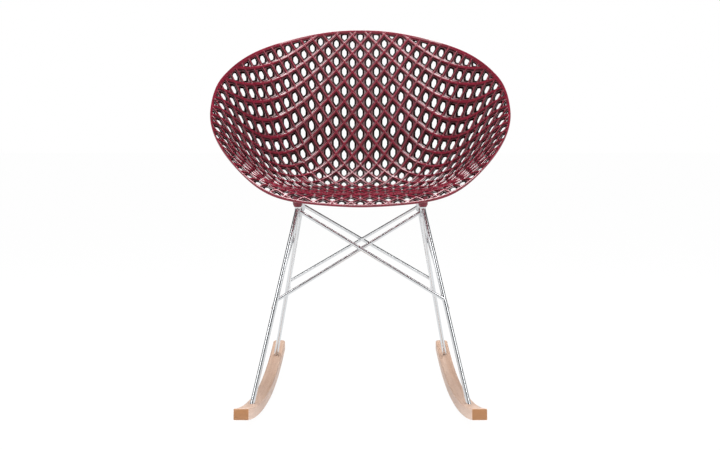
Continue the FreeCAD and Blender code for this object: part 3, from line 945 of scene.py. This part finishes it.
def braces(material):
    """The eight braces, each spreading into its welds at both ends."""
    for node in (name for pair in BRACE_PAIRS for name in pair):
        top, foot, radius = rod_axis(node)
        length = (foot - top).length
        sections = [(d, radius + extra) for d, extra in BRACE_FLARE]
        sections += [(length / 2, radius)]
        sections += [(length - d, radius + extra) for d, extra in reversed(BRACE_FLARE)]
        rod(node, top, foot, sections, material)


def closest_points(a, u, b, v):
    """The points of two lines, each a point and a direction, that lie nearest to each other."""
    gap = a - b
    turn = u.dot(v)
    spread = 1 - turn * turn
    s = (turn * v.dot(gap) - u.dot(gap)) / spread
    t = (v.dot(gap) - turn * u.dot(gap)) / spread
    return a + u * s, b + v * t


def weld_beads(material):
    """Two beads between each leg and its bush, and one where each pair of braces crosses."""
    mesh = Mesh()
    for end, (x, y) in zip(ENDS, BOSS_PLACES):
        for side, sign in SIDES.items():
            top, foot, _ = rod_axis(f"leg_{end}_{side}")
            axis = (foot - top).normalized()
            at = top + axis * BUSH_WELD_DOWN
            bush = Vector((sign * x, y, at.z))
            away = (at - bush).normalized()
            beside = away.cross(axis).normalized()
            for turn in (-1, 1):
                middle = bush + away * (BUSH_RADIUS * BUSH_WELD_TOWARDS)
                middle += beside * (turn * BUSH_RADIUS * BUSH_WELD_ASIDE)
                bead(mesh, middle, axis, BUSH_WELD_LENGTH)
    for first, second in BRACE_PAIRS:
        top, foot, _ = rod_axis(first)
        other_top, other_foot, _ = rod_axis(second)
        axis, other_axis = (foot - top).normalized(), (other_foot - other_top).normalized()
        near, other_near = closest_points(top, axis, other_top, other_axis)
        bead(mesh, (near + other_near) / 2, (axis + other_axis).normalized(), CROSSING_WELD_LENGTH)
    mesh.piece("weld_beads", [material])


def arc_radius(along):
    """Radius of a rocker's underside, in front of where it meets the floor or behind it."""
    return ROCKER_FRONT_RADIUS if along < ROCKER_CONTACT else ROCKER_REAR_RADIUS


def arc_point(along, up):
    """Place on a rocker's side view, square to its underside by a distance."""
    radius = arc_radius(along)
    angle = math.asin((along - ROCKER_CONTACT) / radius)
    away = radius - up
    return ROCKER_CONTACT + away * math.sin(angle), radius - away * math.cos(angle)


def rocker_section(narrow, thin):
    """Places round a rocker's section as (across, up), rounded at its corners, and drawn in at
    an end."""
    out = ROCKER_WIDTH / 2 - narrow - ROCKER_EDGE
    low, high = thin + ROCKER_EDGE, ROCKER_THICKNESS - thin - ROCKER_EDGE
    places = []
    for across, up, start in ((out, low, -90), (out, high, 0), (-out, high, 90), (-out, low, 180)):
        for degrees in QUARTER_TURN:
            angle = math.radians(start + degrees)
            c, s = math.cos(angle), math.sin(angle)
            places.append((across + ROCKER_EDGE * c, up + ROCKER_EDGE * s))
    return places


def rocker_stations():
    """Stations along a rocker, as (place, drawn in across, drawn in upwards)."""
    stations = [(-ROCKER_HALF_LENGTH + far, drawn, drawn) for far, drawn in ROCKER_FRONT_END]
    reach = ROCKER_HALF_LENGTH - ROCKER_REAR_CORNER
    last = reach - ROCKER_REAR_TRIM
    stations += [(place, 0.0, 0.0) for place in np.linspace(-reach, last, ROCKER_SECTIONS)]
    for degrees in ROCKER_REAR_STEPS:
        angle = math.radians(degrees)
        narrow = ROCKER_REAR_CORNER * (1 - math.cos(angle)) * ROCKER_REAR_SHARE
        thin = ROCKER_REAR_THIN if degrees == ROCKER_REAR_STEPS[-1] else 0.0
        stations.append((last + ROCKER_REAR_CORNER * math.sin(angle), narrow, thin))
    return stations


def rocker(side, material):
    """A rocker along its two arcs, square in front and rounded at the rear corners."""
    mesh = Mesh()
    c, s = math.cos(ROCKER_TOE_OUT), math.sin(ROCKER_TOE_OUT)
    rings = []
    for place, narrow, thin in rocker_stations():
        ring = []
        for across, up in rocker_section(narrow, thin):
            along, z = arc_point(place, up)
            x = ROCKER_PIVOT + across * c - along * s
            ring.append((SIDES[side] * x, across * s + along * c, z))
        rings.append(mesh.add(ring))
    for ring, other in zip(rings, rings[1:]):
        mesh.band(ring, other)
    mesh.face(rings[0])
    mesh.face(reversed(rings[-1]))
    node = f"rocker_{side}"
    obj = mesh.piece(node + "_wood", [material], SHARP_EDGE, replaces=(node,))
    drill(obj, side)
    set_grain(obj, side)


def drill(obj, side):
    """Sockets for the legs from above, and screw holes with counterbores from below."""
    mesh = Mesh()
    for end in ENDS:
        top, foot, radius = rod_axis(f"leg_{end}_{side}")
        down = (foot - top).normalized()
        mouth = foot - down * SOCKET_DEPTH
        under = mouth + down * (ROCKER_THICKNESS / -down.z)
        for start, stop, size in (
            (mouth - down * CUTTER_REACH, foot + down * SOCKET_GAP, radius + SOCKET_GAP),
            (foot - down * SCREW_HOLE_LAP, under, SCREW_HOLE_RADIUS),
            (under - down * COUNTERBORE_DEPTH, under + down * CUTTER_REACH, COUNTERBORE_RADIUS),
        ):
            cylinder(mesh, start, stop, size)
    tool = placed("drills", mesh.data("drills"))
    cut = obj.modifiers.new("drilled", "BOOLEAN")
    cut.operation, cut.solver, cut.object, cut.use_self = "DIFFERENCE", "EXACT", tool, True
    bpy.context.view_layer.update()
    cut_obj = obj.evaluated_get(bpy.context.evaluated_depsgraph_get())
    drilled = bpy.data.meshes.new_from_object(cut_obj)
    obj.modifiers.clear()
    obj.data = drilled
    drilled.shade_smooth()
    drilled.set_sharp_from_angle(angle=SHARP_EDGE)
    bpy.data.objects.remove(tool)


def set_grain(obj, side):
    """Each point's place along the bent wood, as (across, along, up), for its grain, with
    the two rockers in different parts of the pattern."""
    c, s = math.cos(ROCKER_TOE_OUT), math.sin(ROCKER_TOE_OUT)
    grain = []
    for vertex in obj.data.vertices:
        x, y, z = vertex.co
        from_pivot = SIDES[side] * x - ROCKER_PIVOT
        across, along = from_pivot * c + y * s, y * c - from_pivot * s
        radius = arc_radius(along)
        up = radius - math.hypot(along - ROCKER_CONTACT, radius - z)
        grain.append((across + SIDES[side] * GRAIN_SHIFT, along, up))
    attribute = obj.data.attributes.new("grain", "FLOAT_VECTOR", "POINT")
    attribute.data.foreach_set("vector", np.array(grain, np.float32).ravel())


def camera():
    """The photograph's view: level with the seat, with its horizon over the middle."""
    data = bpy.data.cameras.new("camera")
    data.lens = CAMERA_LENS
    data.sensor_width = CAMERA_SENSOR
    data.shift_x, data.shift_y = CAMERA_SHIFT
    obj = placed("camera", data)
    obj.location = CAMERA_PLACE
    obj.rotation_euler = (math.radians(90), 0.0, 0.0)
    bpy.context.scene.camera = obj


def softbox(name, place, target, size, watts):
    """A rectangular lamp aimed at a target."""
    data = bpy.data.lights.new(name, "AREA")
    data.shape = "RECTANGLE"
    data.size, data.size_y = size
    data.energy = watts
    obj = placed(name, data)
    obj.location = place
    aim = Vector(target) - Vector(place)
    obj.rotation_euler = aim.to_track_quat("-Z", "Y").to_euler()
    return obj


def surroundings():
    """A white backdrop, with softer white for ambient light and bands of grey for gloss."""
    world = bpy.data.worlds.new("studio")
    bpy.context.scene.world = world
    world.use_nodes = True
    tree = world.node_tree
    tree.nodes.clear()
    path = add_node(tree, "ShaderNodeLightPath")
    direct = add_node(
        tree, "ShaderNodeMath",
        [(0, path.outputs["Is Camera Ray"]), (1, path.outputs["Is Transmission Ray"])],
        operation="MAXIMUM",
    )
    white = linear("#ffffff")
    ambient = add_node(tree, "ShaderNodeBackground", Color=white, Strength=AMBIENT)
    # What gloss sees: white near the horizon, darker higher up between the softboxes
    heading = add_node(tree, "ShaderNodeTexCoord").outputs["Generated"]
    parts = add_node(tree, "ShaderNodeSeparateXYZ", [("Vector", heading)])
    tone = add_node(tree, "ShaderNodeValToRGB", [("Fac", parts.outputs["Z"])])
    set_ramp(tone, GLOSS_SKY)
    sky = add_node(tree, "ShaderNodeBackground", [("Color", tone.outputs["Color"])], Strength=1.0)
    backdrop = add_node(tree, "ShaderNodeBackground", Color=white, Strength=1.0)
    glossy = add_node(
        tree, "ShaderNodeMixShader",
        [(0, path.outputs["Is Glossy Ray"]), (1, ambient.outputs[0]), (2, sky.outputs[0])],
    )
    mixed = add_node(
        tree, "ShaderNodeMixShader",
        [(0, direct.outputs[0]), (1, glossy.outputs[0]), (2, backdrop.outputs[0])],
    )
    add_node(tree, "ShaderNodeOutputWorld", [("Surface", mixed.outputs[0])])


def paper_floor():
    """White paper: what the camera and gloss see of it is nearly all an even glow, so that it
    runs into the backdrop and the shadows on it stay faint."""
    mesh = Mesh()
    far = PAPER_REACH
    mesh.face(mesh.add([(-far, -far, 0), (far, -far, 0), (far, far, 0), (-far, far, 0)]))
    floor = placed("floor", mesh.data("floor"))
    material = bpy.data.materials.new("white_paper_floor")
    material.use_nodes = True
    tree = material.node_tree
    tree.nodes.clear()
    path = add_node(tree, "ShaderNodeLightPath")
    seen = add_node(
        tree, "ShaderNodeMath",
        [(0, path.outputs["Is Camera Ray"]), (1, path.outputs["Is Glossy Ray"])],
        operation="MAXIMUM",
    )
    share = add_node(tree, "ShaderNodeMath", [(0, seen.outputs[0])], operation="MULTIPLY")
    share.inputs[1].default_value = PAPER_GLOW_SHARE
    paper = add_node(tree, "ShaderNodeBsdfDiffuse", Color=linear("#f0f0f0"))
    glow = add_node(tree, "ShaderNodeEmission", Color=linear("#ffffff"), Strength=PAPER_GLOW)
    mixed = add_node(
        tree, "ShaderNodeMixShader",
        [(0, share.outputs[0]), (1, paper.outputs[0]), (2, glow.outputs[0])],
    )
    add_node(tree, "ShaderNodeOutputMaterial", [("Surface", mixed.outputs[0])])
    floor.data.materials.append(material)


def lamps(shell):
    """Softboxes, and bright bands that only the shell's gloss shows."""
    for name, place, target, size, watts in SOFTBOXES:
        softbox(name, place, target, size, watts)
    glossy_pieces = bpy.data.collections.new("glossy_pieces")
    glossy_pieces.objects.link(shell)
    for name, place, size, watts in GLOSS_BANDS:
        band = softbox(name, place, GLOSS_TARGET, size, watts)
        band.visible_diffuse = False
        band.light_linking.receiver_collection = glossy_pieces


camera()
plastic = red_polypropylene("glossy_red_polypropylene", "#6f1929", "#811d32", 0.10)
# The webs' paler colour is a painted sheen of the white surroundings
webs = red_polypropylene("web_polypropylene_painted_sheen", "#7c4b50", "#86545a", 0.22)
# The walls' nearly black colour is painted shade
walls = wall_plastic_painted_shade()
chrome = bright_chrome()
weld = chromed_weld()
beech = lacquered_beech()
brass = turned_brass()
zinc = zinc_plate()
shell = seat([plastic, webs, walls])
legs(chrome)
weld_beads(weld)
braces(chrome)
for rocker_side in SIDES:
    rocker(rocker_side, beech)
for node_name, finish in (
    ("threaded_inserts_front", brass), ("threaded_inserts_rear", brass),
    ("mount_bushes_front", chrome), ("mount_bushes_rear", chrome),
    ("seat_screws", zinc), ("rocker_screws", zinc),
):
    cad_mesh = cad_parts[node_name].data
    cad_mesh.materials.clear()
    cad_mesh.materials.append(finish)
surroundings()
paper_floor()
lamps(shell)
bpy.context.scene.view_settings.view_transform = "Standard"
